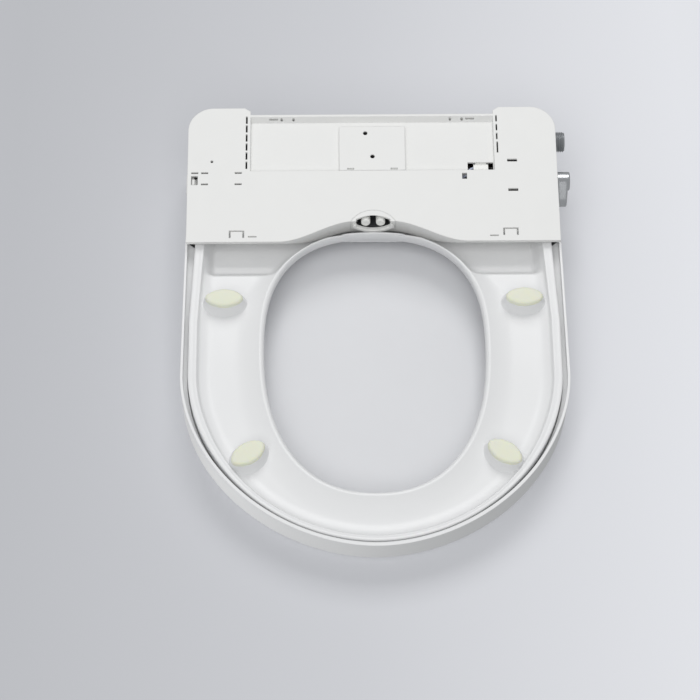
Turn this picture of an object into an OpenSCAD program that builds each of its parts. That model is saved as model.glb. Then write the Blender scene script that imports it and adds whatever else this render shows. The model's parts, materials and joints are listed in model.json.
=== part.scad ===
// Electric bidet seat: base unit, heated seat ring, lid, two spray nozzles,
// a side selector lever and a side release button.
// Frame: +Z up, front faces -Y, Z = 0 is the plane of the toilet's top.
// X = 0 is the plane of symmetry, Y = 0 is the middle of the mounting block.

/* [Base unit] */
// Width of the base across its wings
base_w = 375; // [372:1:376]
// Front edge of the base, distance ahead of the mounting block's middle
base_front = 111; // [109:0.5:112]
// Rear of the two wings, distance behind the mounting block's middle
wing_rear = 44.5; // [42:0.5:46]
// Height of the rear ridge
ridge_h = 98; // [94:1:104]
// Height of the bottom pan, where the cover meets it
pan_h = 22; // [21:0.5:23]
// Radius of the rear outer corners, seen from above
corner_r = 26; // [18:1:28]
// Wall thickness of the base mouldings
wall = 2.5; // [2.2:0.1:2.8]
// Depth of the pocket that slides over the mounting bracket
pocket_depth = 5; // [4.5:0.5:6]
// Half the pocket's width
pocket_x = 124; // [118:1:124]
// Half the pocket's length, front to rear
pocket_y = 29.5; // [28:0.5:30]

/* [Hinge] */
// Hinge line, distance ahead of the mounting block's middle
hinge_ahead = 26; // [25:0.5:27]
// Height of the hinge line
hinge_z = 62; // [61:0.5:63]
// Radius of the fixed hinge barrel
barrel_r = 23.8; // [22:0.2:23.8]
// Radius of the hinge shafts
shaft_r = 6; // [5:0.5:7]
// Radial clearance of everything that turns or slides
running = 0.06; // [0.03:0.01:0.09]

/* [Seat ring] */
// Half the width of the seat ring
seat_half = 183.3; // [181:0.1:183.5]
// Front of the seat ring, distance ahead of the mounting block's middle
seat_front = 425.5; // [422:0.5:426]
// Half the width of the hole
hole_half = 109; // [104:1:111]
// Rear of the hole, distance ahead of the mounting block's middle
hole_rear = 97; // [96.5:0.5:99]
// Front of the hole, distance ahead of the mounting block's middle
hole_front = 376; // [368:1:380]
// Height of the ring's outer rim above the toilet
rim_z = 8; // [7:0.5:9]

/* [Lid] */
// Half the width of the lid at its widest
lid_half = 191; // [190.5:0.5:193]
// Front of the lid, distance ahead of the mounting block's middle
lid_front = 432; // [431:0.5:436]
// Height of the lid's lower edge
lid_edge_z = 10; // [9.5:0.5:11]
// Height of the lid's outer wall at the front
lid_wall_h = 28.6; // [27:0.2:32]
// Thickness of the lid's side wall
lid_wall = 4; // [3.4:0.2:4]

/* [Nozzles] */
// Radius of a nozzle
nozzle_r = 4.7; // [4.5:0.1:4.8]
// Distance of each nozzle from the centre plane
nozzle_x = 7.5; // [7.5:0.1:7.7]
// Downward slope of the nozzles, in degrees
nozzle_slope = 15; // [14:0.5:16]
// Length of a nozzle
nozzle_len = 115; // [113:1:116]

/* [Water inlet and controls] */
// Radius of the inlet's outside thread
inlet_r = 10.4775; // [10.4775:0.0001:10.4776]
// Length of the inlet's outside thread
inlet_len = 11; // [10:0.5:13]
// Length of the selector lever, from its axis to its tip
lever_len = 29; // [24:1:32]

/* [Hidden] */

$fn = 64;
eps = 0.01;
base_x = base_w / 2;
hinge = [-hinge_ahead, hinge_z];

// Outlines seen from above: the ring and the lid curve in from curve_y on.
curve_y = -252;
front_n = 1.9;
outline_steps = 20;
hole_wide_y = -223;
hole_rear_n = 2.52;
hole_front_n = 2.3;
hole_steps = 16;

// The front edge bows back in the middle and the front wall rises there.
bow_back = 88;
bow_inner = 18;
bow_outer = 95;
shelf_t = 4;
front_wall_h = pan_h - 0.5;
shelf_inner = 45;
shelf_outer = 96;
pocket_ramp = 4.5;
screw_relief = 5;
rear_between = 36.5;
wing_chamfer = [6, 4];

// Side section of the base: a slope runs up from the shelf to the hinge.
slope_start = [-98, 6];
slope_end = [-44, 36];
roof_half = 100;
barrel_half = 130;
cleft_r = 29;
ridge_front = [3, 62];
ridge_front_r = 8;
ridge_rear_r = 12;
roof_start = [-50, 37];
roof_end = [-40, 41];

// Lid section
lid_nose_r = 28;
lid_top_t = 3;
lid_hinge_half = 188.5;
lid_tilt = 5.35;
// Height above the wall and inset of each slice of the lid's rounded top
lid_slices = [[0, 0], [5.5, 1.4], [9.5, 4.8], [12, 10], [13.4, 20]];
lid_top_h = 13.4;
lid_split = 4;

// Hinge arms, distances from the centre plane
seat_arm = [131.5, 150];
lid_arm = [152, 170];
hub_r = 12;
shaft_in = 88;
shaft_out = 171;

// Seat section
seat_rear = -52;
seat_taper = 7.7;
seat_taper_y = -195;
seat_tilt = 1.54;
rim_round = 1.2;
// Height and inset of each slice of the ring's rounded top
seat_slices = [[28, 0], [32.5, 1.6], [35.5, 4.6], [37.2, 10]];
roof_z = 33.6;
ring_inset = 9;
lip_t = 3.5;
lip_z = 10.5;
under_z = 16;
boss_z = 11.5;
relief_z = 23;
relief_y = -138;
plate_t = 2.5;
foil_t = 0.6;
cavity_rear = -74;
bridge_half = 106;
bridge_y = -99;

// Nozzle frame: origin at a nozzle's front face, y runs up along the nozzle.
nozzle_origin = [0, -87, 6.5];
eye_half = [17.2, 7.4];
frame_half = [20.6, 10.6];
dome_r = 26;
dome_y = -101.5;
shroud_front = -92.5;
rim_back = -87.5;
eye_corner_y = -86;
eye_rear = 4.5;
rack_pitch_x = 6.3;
tooth_module = 1;
pinion_teeth = 12;
pinion_r = pinion_teeth * tooth_module / 2;
pinion_y = 44;
pinion_x = nozzle_x + rack_pitch_x + pinion_r;
rack_start = 35;

// Axes of the side controls in the (Y, Z) plane, and the bores around them
knob = [-30, 24];
spindle_r = 4;
lever_gap = 1.2;
lever_arm_t = 11.2;
lever_narrowing = 2.6;
lever_hub_t = 13;
inlet = [18, 27];
inlet_bore = 11.2;
inlet_gap = 0.2;
hose_bore = 4.5;
// Cord outlet in the rear wall, in the (X, Z) plane
cord = [100, 40];

white = [0.93, 0.93, 0.92];
shell_white = [0.95, 0.95, 0.95];
cream = [0.88, 0.89, 0.8];
graphite = [0.3, 0.31, 0.33];
steel = [0.72, 0.73, 0.75];

// ---------------------------------------------------------------- helpers

// Extrudes a (Y, Z) outline along X.
module along_x(x0, x1) {
    translate([x0, 0, 0]) rotate([90, 0, 90]) linear_extrude(x1 - x0) children();
}

// Extrudes an (X, Z) outline along Y.
module along_y(y0, y1) {
    translate([0, y1, 0]) rotate([90, 0, 0]) linear_extrude(y1 - y0) children();
}

// A box from its two corners.
module block(lo, hi) {
    translate(lo) cube(hi - lo);
}

// A cylinder along X about the point [y, z].
module rod_x(x0, x1, centre, r) {
    translate([x0, centre[0], centre[1]]) rotate([0, 90, 0]) cylinder(h = x1 - x0, r = r);
}

// Places children in the frame of the sloping nozzles.
module nozzle_frame() {
    translate(nozzle_origin) rotate([nozzle_slope, 0, 0]) children();
}

function clamp01(u) = min(1, max(0, u));
function smooth(u) = let (t = clamp01(u)) t * t * (3 - 2 * t);

// Front edge of the base, and height of its front wall, at a distance x.
function front_y(x) =
    -bow_back - (base_front - bow_back) * smooth((abs(x) - bow_inner) / (bow_outer - bow_inner));
function front_h(x) =
    front_wall_h - (front_wall_h - shelf_t) * smooth((abs(x) - shelf_inner) / (shelf_outer - shelf_inner));

// Quarter of a superellipse from the side round to the end.
function quarter(a, yc, b, n, steps) =
    [for (i = [0:steps]) let (t = 90 * i / steps) [a * pow(cos(t), 2 / n), yc + b * pow(sin(t), 2 / n)]];
function reversed(list) = [for (i = [len(list) - 1:-1:0]) list[i]];

// Round-fronted outline with straight sides, closed across the rear.
function d_outline(rear_half, rear_y, half, curve_y, front, n, steps, taper_y = 0) =
    let (side = quarter(half, curve_y, -(front + curve_y), n, steps),
         rear = taper_y < 0 ? [[rear_half, rear_y], [half, taper_y]] : [[rear_half, rear_y]],
         right = concat(rear, side))
    concat(right, [for (i = [len(right) - 2:-1:0]) [-right[i][0], right[i][1]]]);

function lid_outline(inset) =
    d_outline(lid_hinge_half - inset, slope_start[0], lid_half - inset, curve_y, lid_front - inset,
              front_n, outline_steps);
function seat_outline(inset, rear_y) =
    d_outline(seat_half - seat_taper - inset, rear_y, seat_half - inset, curve_y, seat_front - inset,
              front_n, outline_steps, seat_taper_y);

// The hole is an egg, widest ahead of its middle.
function hole_outline(grow) =
    let (rear = quarter(hole_half + grow, hole_wide_y, -hole_wide_y - hole_rear + grow,
                        hole_rear_n, hole_steps),
         front = quarter(hole_half + grow, hole_wide_y, -(hole_front + hole_wide_y) - grow,
                         hole_front_n, hole_steps),
         right = concat(reversed(rear), [for (i = [1:hole_steps]) front[i]]))
    concat(right, [for (i = [len(right) - 2:-1:1]) [-right[i][0], right[i][1]]]);

// Lens outline: where two equal circles overlap.
module lens(half) {
    r = (half[0] * half[0] + half[1] * half[1]) / (2 * half[1]);
    intersection() {
        translate([0, r - half[1]]) circle(r, $fn = 96);
        translate([0, half[1] - r]) circle(r, $fn = 96);
    }
}

// ------------------------------------------------------------- base shape

// Outline of the base seen from above, drawn in by an inset.
module base_plan(inset) {
    r = corner_r - inset;
    edge = base_x - inset;
    rear = wing_rear - inset;
    difference() {
        polygon(concat(
            [for (x = [-96:4:96]) [x, front_y(x) + inset]],
            [[edge, -base_front + inset], [edge, rear], [-edge, rear], [-edge, -base_front + inset]]
        ));
        translate([-pocket_x - inset, rear_between - inset]) square([2 * pocket_x + 2 * inset, 20]);
        for (side = [-1, 1]) polygon([
            [side * (pocket_x + inset - 1), rear - wing_chamfer[1] * (1 + 1 / wing_chamfer[0])],
            [side * (pocket_x + inset - 1), rear + 1],
            [side * (pocket_x + inset + wing_chamfer[0] * (1 + 1 / wing_chamfer[1])), rear + 1]
        ]);
        for (side = [-1, 1]) translate([side * (edge - r / 2), rear - r / 2])
            difference() {
                translate([-r / 2 - (side < 0 ? 1 : 0), -r / 2]) square([r + 1, r + 1]);
                translate([-side * r / 2, -r / 2]) circle(r);
            }
    }
}

// Rounded corner points from angle a0 to a1.
function corner(c, r, a0, a1) = [for (i = [0:6]) let (a = a0 + (a1 - a0) * i / 6) c + r * [cos(a), sin(a)]];

// Side section behind the slope, without the hinge barrel. The hollow is this
// section drawn in by the wall, and it starts a little up the slope.
module side_section(inset) {
    drop = inset * 1.145;
    start = slope_start + (inset > 0 ? [4, 2.2] : [0, 0]);
    difference() {
        polygon(concat(
            [[start[0], inset], start - [0, drop], slope_end - [0, drop], [hinge[0], 45 - inset]],
            [ridge_front + [inset, 0]],
            corner([ridge_front[0] + 3.5 + ridge_front_r, ridge_h - ridge_front_r],
                   ridge_front_r - inset, 180, 90),
            corner([wing_rear - ridge_rear_r, ridge_h - ridge_rear_r], ridge_rear_r - inset, 90, 0),
            [[wing_rear - inset, inset]]
        ));
        translate(hinge) circle(cleft_r + inset);
    }
}

// Raised roof over the nozzles, in the middle of the base.
module roof_section(inset) {
    polygon([
        [-bow_back + inset, inset], [-bow_back + inset, front_wall_h - inset],
        roof_start - [0, inset * 1.08], roof_end - [0, inset * 1.1], [roof_end[0], inset]
    ]);
}

// Section through the fixed hinge barrel and its foot.
module barrel_section() {
    translate(hinge) circle(barrel_r);
    difference() {
        polygon([slope_end, roof_start, [-47, 50], hinge, hinge + [8, -31], [-30, 30]]);
        translate(hinge) intersection() {
            circle(cleft_r);
            polygon([[0, 0], [60 * cos(-75), 60 * sin(-75)], [60, -60], [60, 60], [0, 60]]);
        }
    }
}

// Top profile of the front shelf, across the base.
module shelf_section(drop) {
    polygon(concat(
        [for (x = [-base_x, for (i = [-96:4:96]) i, base_x]) [x, front_h(x) - drop]],
        [[base_x, 0], [-base_x, 0]]
    ));
}

module base_solid() {
    intersection() {
        linear_extrude(ridge_h + 1) base_plan(0);
        union() {
            along_x(-base_x, base_x) side_section(0);
            along_x(-barrel_half, barrel_half) barrel_section();
            along_x(-roof_half, roof_half) roof_section(0);
            along_y(-base_front, -80) shelf_section(0);
        }
    }
}

module base_hollow() {
    intersection() {
        translate([0, 0, wall]) linear_extrude(ridge_h) base_plan(wall);
        union() {
            along_x(-base_x, base_x) side_section(wall);
            along_x(-roof_half + wall, roof_half - wall) roof_section(wall);
            intersection() {
                along_y(-base_front, -80) shelf_section(wall);
                block([-72, -base_front, 0], [72, -80, pan_h]);
            }
        }
    }
}

// Rectangular slot through the pan's floor, by its middle and size.
module slot(centre, size, top) {
    translate([centre[0] - size[0] / 2, centre[1] - size[1] / 2, -1]) cube([size[0], size[1], top + 1]);
}

// Pocket for the mounting bracket, with a ramp up to the rear band.
module pocket_shape() {
    along_x(-pocket_x, pocket_x) polygon([
        [-pocket_y, -1], [-pocket_y, pocket_depth], [pocket_y, pocket_depth],
        [pocket_y + pocket_ramp * (1 + 1 / pocket_depth), -1]
    ]);
}

// Small slots, snap windows and screw holes on the underside.
module pan_openings() {
    top = wall + 1;
    deep = pocket_depth + wall + 1;
    for (y = [-22.7, -11.9, -1.3, 9.3, 20.1, 30.3]) slot([127.9, y], [1.7, 8.5], top);
    for (y = [10, 20.5, 31]) slot([-127.4, y], [1.5, 7.5], top);
    slot([-127.6, -3], [1.5, 13], top);
    for (x = [136, 170, 180]) slot([x, -31.6], [7, 1.8], top);
    for (x = [136, 170]) slot([x, -44.6], [7, 1.8], top);
    for (y = [-18.5, -52.7]) slot([-142, y], [10, 3], top);
    for (x = [-1, 1]) {
        slot([x * 100.5, 32.2], [8.8, 1.2], deep);
        slot([x * 121.2, -105], [8.4, 1.4], shelf_t + 1);
    }
    slot([180.3, -40.2], [6.6, 10.4], top);
    slot([-93.2, -36.5], [4.8, 6.8], top);
    for (c = [[137, -98.6], [-137.8, -97]]) {
        slot(c, [15.2, 1.2], shelf_t + 1);
        for (side = [-1, 1]) slot(c + [side * 6.8, -3.6], [1.6, 8], shelf_t + 1);
    }
    slot([-110, -23.5], [26, 11], deep);
    translate([162.9, -18.4, -1]) cylinder(h = top + 1, r = 1.4);
    for (x = [-92.3, -80.2, 80.2, 92.3]) translate([x, 32, -1]) cylinder(h = deep, r = 1.25);
}

// ------------------------------------------------------------ base pieces

module base_pan() {
    color(white) difference() {
        union() {
            intersection() {
                difference() {
                    base_solid();
                    base_hollow();
                }
                block([-base_x, -base_front, 0], [base_x, wing_rear, pan_h]);
            }
            block([-pocket_x - wall, -pocket_y - wall, 0.5],
                  [pocket_x + wall, rear_between - 1, pocket_depth + wall]);
        }
        pocket_shape();
        pan_openings();
        // seat of the nozzle surround
        intersection() {
            translate([0, dome_y, -1]) cylinder(h = 18.2, r = dome_r + 0.15, $fn = 96);
            block([-40, -100, -1], [40, -60, 20]);
        }
        translate([0, 0, -1]) block_screw_holes(screw_relief, 12);
        rod_x(-base_x - 1, -base_x + wall + 1, knob, spindle_r + 1);
        rod_x(-base_x - 1, -base_x + 9, inlet, inlet_bore);
        release_button_window(0.3);
    }
}

module block_screw_holes(r, h) {
    for (p = [[6.9, 14.1], [-0.2, -13.2]]) translate([p[0], p[1], 0]) cylinder(h = h, r = r);
}

module mount_block() {
    color(white) difference() {
        block([-33.5, -pocket_y + 0.2, 0], [33.5, 22, pocket_depth]);
        translate([0, 0, -1]) block_screw_holes(2.25, pocket_depth + 2);
        translate([0, 0, 1.6]) block_screw_holes(screw_relief, pocket_depth);
        for (x = [-22, 22]) slot([x, -27.6], [7, 1.8], 2);
    }
}

// Lens-shaped surround of the nozzle outlet, flush with the underside.
module nozzle_shroud() {
    color(white) difference() {
        union() {
            intersection() {
                translate([0, dome_y, 0]) cylinder(h = 17, r = dome_r, $fn = 96);
                block([-40, -bow_back - 0.4, 0], [40, -60, 17]);
            }
            intersection() {
                nozzle_frame() along_y(-20, 12) lens(frame_half);
                block([-40, shroud_front, 0], [40, -86, 17]);
            }
        }
        nozzle_frame() along_y(-30, 60) lens(eye_half);
        // opening in the underside, and the room behind the rim
        translate([0, eye_corner_y, -1]) linear_extrude(9) lens([eye_half[0], eye_rear]);
        nozzle_frame() block([-eye_half[0], -8, -12], [eye_half[0], -0.9, 0]);
        block([-eye_half[0], rim_back, wall], [eye_half[0], -60, 18]);
    }
}

module base_cover() {
    color(shell_white) difference() {
        intersection() {
            difference() {
                base_solid();
                base_hollow();
            }
            block([-base_x, -base_front, pan_h], [base_x, wing_rear, ridge_h + 1]);
        }
        rod_x(-barrel_half - 1, barrel_half + 1, hinge, barrel_r - 2.8);
        rod_x(-base_x - 1, -base_x + wall + 1, knob, spindle_r + 1);
        rod_x(-base_x - 1, -base_x + 9, inlet, inlet_bore);
        translate([cord[0], rear_between + 1, cord[1]]) rotate([90, 0, 0]) cylinder(h = wall + 2, r = 6.2);
    }
}

// Disc that closes one end of the barrel round a hinge shaft.
module hinge_cap(side) {
    x0 = barrel_half - 4;
    color(white) mirror([side < 0 ? 1 : 0, 0, 0]) difference() {
        rod_x(x0, barrel_half, hinge, barrel_r - 3);
        rod_x(x0 - 1, barrel_half + 1, hinge, shaft_r + 0.6);
    }
}
module hinge_cap_left() { hinge_cap(1); }
module hinge_cap_right() { hinge_cap(-1); }

// Soft-close damper inside the barrel, with a bore for its shaft.
module damper(side) {
    color(graphite) mirror([side < 0 ? 1 : 0, 0, 0]) difference() {
        union() {
            rod_x(48, 122, hinge, 16);
            rod_x(108, 125, hinge, barrel_r - 3.2);
            rod_x(50, 56, hinge, barrel_r - 3.2);
        }
        rod_x(86, 126, hinge, shaft_r + running);
    }
}
module seat_damper() { damper(1); }
module lid_damper() { damper(-1); }

// Block that guides both nozzles and carries the two motors.
module nozzle_cradle() {
    color(graphite) {
        cradle_body();
        for (side = [-1, 1]) block([side * 15 - 2, -60, wall], [side * 15 + 2, -52, 9]);
    }
}

module cradle_body() {
    nozzle_frame() difference() {
        union() {
            block([-17.5, 14, -5.9], [17.5, 68, 6.4]);
            for (side = [-1, 1])
                block([side * 21 - 9, pinion_y - 10, 4.4], [side * 21 + 9, pinion_y + 10, 6.4]);
        }
        for (side = [-1, 1]) {
            translate([side * nozzle_x, 13, 0]) rotate([-90, 0, 0])
                cylinder(h = 56, r = nozzle_r + running);
            block([side < 0 ? -18 : nozzle_x, 13, -1.6], [side < 0 ? -nozzle_x : 18, 69, 1.6]);
            translate([side * pinion_x, pinion_y, 4]) cylinder(h = 3, r = 3);
            block([side * 21 - 12, pinion_y - 8, -1.7], [side * 21 + 12, pinion_y + 8, 1.7]);
        }
    }
}

// Dark hood over the fronts of the nozzles, resting on their cradle.
module nozzle_hood() {
    color(graphite) nozzle_frame() block([-16.5, 2.7, 6.45], [16.5, 30, 9.6]);
}

// Small geared motor over one pinion.
module motor(side) {
    color(steel) nozzle_frame() translate([side * pinion_x, pinion_y, 6.4]) difference() {
        union() {
            cylinder(h = 8, r = 8);
            block([-4, -11, 1.5], [4, -6, 6]);
        }
        translate([0, 0, -1]) cylinder(h = 7, r = 1.5 + running);
    }
}
module front_motor() { motor(1); }
module rear_motor() { motor(-1); }

module selector_valve() {
    color(graphite) difference() {
        union() {
            rod_x(-174, -140, knob, 6.3);
            block([-150, -36, 12], [-142, -24, 24]);
            translate([-160, knob[0], knob[1]]) rotate([-90, 0, 0]) cylinder(h = 16, r = 4);
        }
        rod_x(-175, -158, knob, spindle_r + running);
    }
}

// Hose union with an outside thread; the thread's helix is left plain here.
module inlet_fitting() {
    color(graphite) difference() {
        union() {
            rod_x(-base_x - inlet_len, -base_x - inlet_gap, inlet, inlet_r);
            rod_x(-base_x - inlet_gap, -base_x + 8.5, inlet, inlet_r - 0.4);
            rod_x(-base_x + 8.5, -base_x + 11.5, inlet, 12.5);
            rod_x(-base_x + 11.5, -172, inlet, 8);
        }
        rod_x(-base_x - inlet_len - 1, -base_x + 2, inlet, 7.4);
        rod_x(-base_x, -171, inlet, hose_bore);
    }
}

module solenoid_valve() {
    color([0.25, 0.4, 0.6]) difference() {
        union() {
            block([-172, inlet[0] - 11, 16], [-140, inlet[0] + 11, 38]);
            translate([-156, inlet[0], 38]) cylinder(h = 20, r = 10);
        }
        rod_x(-173, -139, inlet, hose_bore);
    }
}

module flow_regulator() {
    color([0.85, 0.85, 0.86]) difference() {
        union() {
            rod_x(-140, -112, inlet, 7);
            rod_x(-132, -120, inlet, 10);
        }
        rod_x(-141, -111, inlet, hose_bore);
    }
}

// Flow-through water heater with two hose tails.
module instant_heater() {
    color([0.75, 0.5, 0.3]) union() {
        block([-118, 12, 46], [-40, 30, 88]);
        for (x = [-106, -52]) translate([x, inlet[0], 34]) cylinder(h = 12, r = 4);
    }
}

module heater_feed_tube() {
    color([0.9, 0.9, 0.88]) difference() {
        union() {
            rod_x(-112, -52, inlet, 4);
            translate([-52, inlet[0], inlet[1]]) sphere(4);
            translate([-52, inlet[0], inlet[1]]) cylinder(h = 34 - inlet[1], r = 4);
        }
        rod_x(-113, -56, inlet, 2.5);
    }
}

module air_pump() {
    color([0.2, 0.2, 0.22]) union() {
        translate([72, -2, 9]) cylinder(h = 16, r = 12);
        block([82, -8, 9], [100, 4, 21]);
    }
}

// Circuit board with a row of parts on its face.
module control_board() {
    color([0.15, 0.4, 0.25]) union() {
        block([20, 26, 46], [120, 27.6, 88]);
        for (i = [0:4]) block([26 + 19 * i, 22, 52], [38 + 19 * i, 26, 62]);
        block([50, 20, 68], [90, 26, 80]);
    }
}

module power_module() {
    color([0.2, 0.2, 0.2]) union() {
        block([132, 12, 12], [176, 34, 14]);
        block([136, 14, 14], [158, 32, 34]);
        translate([168, 23, 14]) cylinder(h = 24, r = 6);
    }
}

// Wiring plug that shows through the window in the pocket's corner.
module wire_connector() {
    color([0.85, 0.85, 0.85]) union() {
        block([-118, -27, pocket_depth + wall], [-103, -19, 14]);
        block([-116, -19, pocket_depth + wall], [-105, -8, pocket_depth + wall + 3]);
        block([-114, -29.5, 9], [-107, -27, 12]);
    }
}

// Bush for the mains cord in the rear wall.
module cord_gland() {
    color([0.15, 0.15, 0.16]) translate([cord[0], rear_between + 5.5, cord[1]]) rotate([90, 0, 0])
        difference() {
            union() {
                cylinder(h = 10, r = 6);
                translate([0, 0, 2]) cylinder(h = 3.5, r = 8);
            }
            translate([0, 0, -1]) cylinder(h = 12, r = 3.6);
        }
}

// ------------------------------------------------------------- seat pieces

// Thin tilted slice of the ring's outline, for the rounded top.
module seat_slice(z, inset) {
    translate([0, -seat_front, z]) rotate([seat_tilt, 0, 0]) translate([0, seat_front, 0])
        linear_extrude(eps) polygon(seat_outline(inset, seat_rear - inset / 2));
}

module seat_body() {
    hull() {
        translate([0, 0, rim_z + rim_round]) linear_extrude(eps) polygon(seat_outline(0, seat_rear));
        translate([0, 0, rim_z]) linear_extrude(eps) polygon(seat_outline(rim_round, seat_rear));
        for (slice = seat_slices) seat_slice(slice[0], slice[1]);
    }
}

// Plan of the hollow under the ring's top.
module seat_cavity_plan(c) {
    difference() {
        polygon(seat_outline(ring_inset + c, cavity_rear - c));
        polygon(hole_outline(lip_t + c));
        translate([-bridge_half - c, bridge_y - c]) square([2 * bridge_half + 2 * c, 80]);
    }
}

// Everything that must stay clear of the base below the ring's rear.
module seat_rear_clearance() {
    half = bridge_half - 2;
    along_x(-200, 200) polygon([[-106, 0], [-106, rim_z], [-51.5, 38], [-45, 38], [-45, 0]]);
    along_x(-half, half)
        polygon([[-108, 0], [-108, 24.5], [-hole_rear + lip_t, 24.5], [-50, 41], [-40, 41], [-40, 0]]);
}

// Space below the underside of the ring's top skin.
module seat_below_top() {
    translate([0, -seat_front, roof_z]) rotate([seat_tilt, 0, 0])
        translate([-200, -10, -45]) cube([400, 400, 45]);
}

// Hinge arm of the seat in the (Y, Z) plane.
module seat_arm_section() {
    translate(hinge) circle(hub_r);
    polygon([[-36, 68], [-20, 52], [-50, 34.8], [-62, 34.8], [-62, 44]]);
}

module seat_arms() {
    for (side = [-1, 1]) mirror([side < 0 ? 1 : 0, 0, 0])
        along_x(seat_arm[0], seat_arm[1]) seat_arm_section();
}

// Crowned top skin of the ring.
module seat_top() {
    color(shell_white) difference() {
        seat_body();
        linear_extrude(80) polygon(hole_outline(0));
        seat_below_top();
        seat_arms();
    }
}

// Outer wall of the ring, with the solid bar and bridge at its rear and the arms.
module seat_rim() {
    color(shell_white) difference() {
        union() {
            difference() {
                seat_body();
                seat_above_rim();
                difference() {
                    linear_extrude(80) polygon(seat_outline(ring_inset, cavity_rear));
                    block([-bridge_half, bridge_y, -1], [bridge_half, 0, 81]);
                }
                linear_extrude(80) polygon(hole_outline(lip_t));
                seat_rear_clearance();
                for (place = feet) foot_notch(place);
            }
            seat_arms();
        }
        rod_x(0, 200, hinge, shaft_r);
        rod_x(-200, 0, hinge, shaft_r + running);
    }
}

// Space above the plane where the top skin starts.
module seat_above_rim() {
    translate([0, -seat_front, roof_z]) rotate([seat_tilt, 0, 0])
        translate([-200, -10, 0]) cube([400, 400, 45]);
}

// Wall round the hole.
module seat_lip() {
    color(shell_white) difference() {
        intersection() {
            linear_extrude(80) polygon(hole_outline(lip_t));
            seat_below_top();
        }
        linear_extrude(80) polygon(hole_outline(0));
        // the lip stops a little above the outer rim
        block([-200, -400, -20], [200, 0, lip_z]);
    }
}

module seat_bottom() {
    gap = 0.15;
    color(shell_white) intersection() {
        linear_extrude(60) seat_cavity_plan(gap);
        union() {
            block([-200, -430, under_z], [200, relief_y, under_z + plate_t]);
            block([-200, relief_y - plate_t, under_z], [200, relief_y, relief_z + plate_t]);
            block([-200, relief_y - plate_t, relief_z], [200, 0, relief_z + plate_t]);
            for (place = feet) foot_boss(place);
        }
    }
}

// Heating foil bonded under the top of the ring.
module seat_heater() {
    color([0.8, 0.55, 0.3]) intersection() {
        linear_extrude(60) seat_cavity_plan(3);
        translate([0, -seat_front, roof_z - 0.1]) rotate([seat_tilt, 0, 0])
            translate([-200, 0, -foil_t]) cube([400, 400, foil_t]);
    }
}

// Oval rubber foot under the ring: middle, half length, half width and turn.
feet = [
    [[149.5, -174], [18, 9.8], 0], [[-149.5, -174], [18, 9.8], 0],
    [[124, -341], [18.5, 10.5], -33], [[-124, -341], [18.5, 10.5], 33]
];
foot_gap = 0.3;
module seat_foot(i) {
    place = feet[i];
    color(cream) translate([place[0][0], place[0][1], 0]) rotate([0, 0, place[2]])
        linear_extrude(boss_z) foot_plan(place[1][0], place[1][1]);
}

// White boss of the lower panel that carries a foot.
module foot_boss(place) {
    translate([place[0][0], place[0][1], boss_z]) rotate([0, 0, place[2]])
        linear_extrude(under_z + 1 - boss_z) foot_plan(place[1][0] + 0.9, place[1][1] + 0.9);
}

// Notch in the rim's wall where a foot's end reaches it.
module foot_notch(place) {
    size = place[1] + [foot_gap, foot_gap];
    translate([place[0][0], place[0][1], 0]) rotate([0, 0, place[2]])
        block([-size[0], -size[1], -1], [size[0], size[1], under_z + foot_gap]);
}

// Oval made of two large arcs and two round ends.
module foot_plan(half_len, half_wide) {
    end_r = half_wide * 0.72;
    translate([half_len - end_r, 0]) circle(end_r);
    translate([end_r - half_len, 0]) circle(end_r);
    intersection() {
        lens([half_len * 1.35, half_wide]);
        square([2 * (half_len - end_r * 0.75), 4 * half_wide], center = true);
    }
}
module seat_foot_rear_left() { seat_foot(0); }
module seat_foot_rear_right() { seat_foot(1); }
module seat_foot_front_left() { seat_foot(2); }
module seat_foot_front_right() { seat_foot(3); }

module seat_shaft() {
    color(steel) rod_x(shaft_in, shaft_out, hinge, shaft_r);
}

// -------------------------------------------------------------- lid pieces

module lid_slice(z, inset) {
    translate([0, -lid_front, z]) rotate([lid_tilt, 0, 0]) translate([0, lid_front, 0])
        linear_extrude(eps) polygon(lid_outline(inset));
}

module lid_outside() {
    wall_top = lid_edge_z + lid_wall_h;
    hull() {
        translate([0, 0, lid_edge_z]) linear_extrude(eps) polygon(lid_outline(0));
        for (slice = lid_slices) lid_slice(wall_top + slice[0], slice[1]);
        rod_x(-lid_hinge_half + 3, lid_hinge_half - 3, hinge, lid_nose_r, $fn = 48);
        rod_x(-lid_hinge_half, lid_hinge_half, hinge, lid_nose_r - 2.5, $fn = 48);
    }
}

module lid_inside() {
    wall_top = lid_edge_z + lid_wall_h - lid_top_t;
    hull() {
        linear_extrude(eps) polygon(lid_outline(lid_wall));
        for (slice = lid_slices) lid_slice(wall_top + slice[0], lid_wall + slice[1]);
        rod_x(-lid_hinge_half + lid_wall, lid_hinge_half - lid_wall, hinge, lid_nose_r - lid_top_t, $fn = 48);
    }
}

// The lid's side walls stop along a slope, except for the round end discs.
module lid_slope_cut() {
    difference() {
        along_x(-200, 200) polygon([
            [slope_start[0], 0], [slope_start[0], lid_edge_z], slope_end + [-1, 3.2], hinge + [0, -14],
            hinge + [60, 0], hinge + [60, -70]
        ]);
        rod_x(-201, 201, hinge, lid_nose_r);
    }
    inner = lid_hinge_half - lid_wall + eps;
    along_x(-inner, inner) polygon([
        hinge, hinge + [52, 30], [60, 60], [60, -20],
        [slope_start[0], -20], [slope_start[0], lid_edge_z - 1]
    ]);
}

module lid_arm_section() {
    translate(hinge) circle(hub_r);
    polygon([hinge + [-12, 0], hinge + [12, 0], [-18, 87], [-60, 84.6]]);
}

// Space above the plane where the lid's side wall meets its crown.
module lid_above_wall(side) {
    translate([0, -lid_front, lid_edge_z + lid_wall_h - lid_split]) rotate([lid_tilt, 0, 0])
        translate([-200, -10, side > 0 ? 0 : -120]) cube([400, 500, 120]);
}

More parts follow.
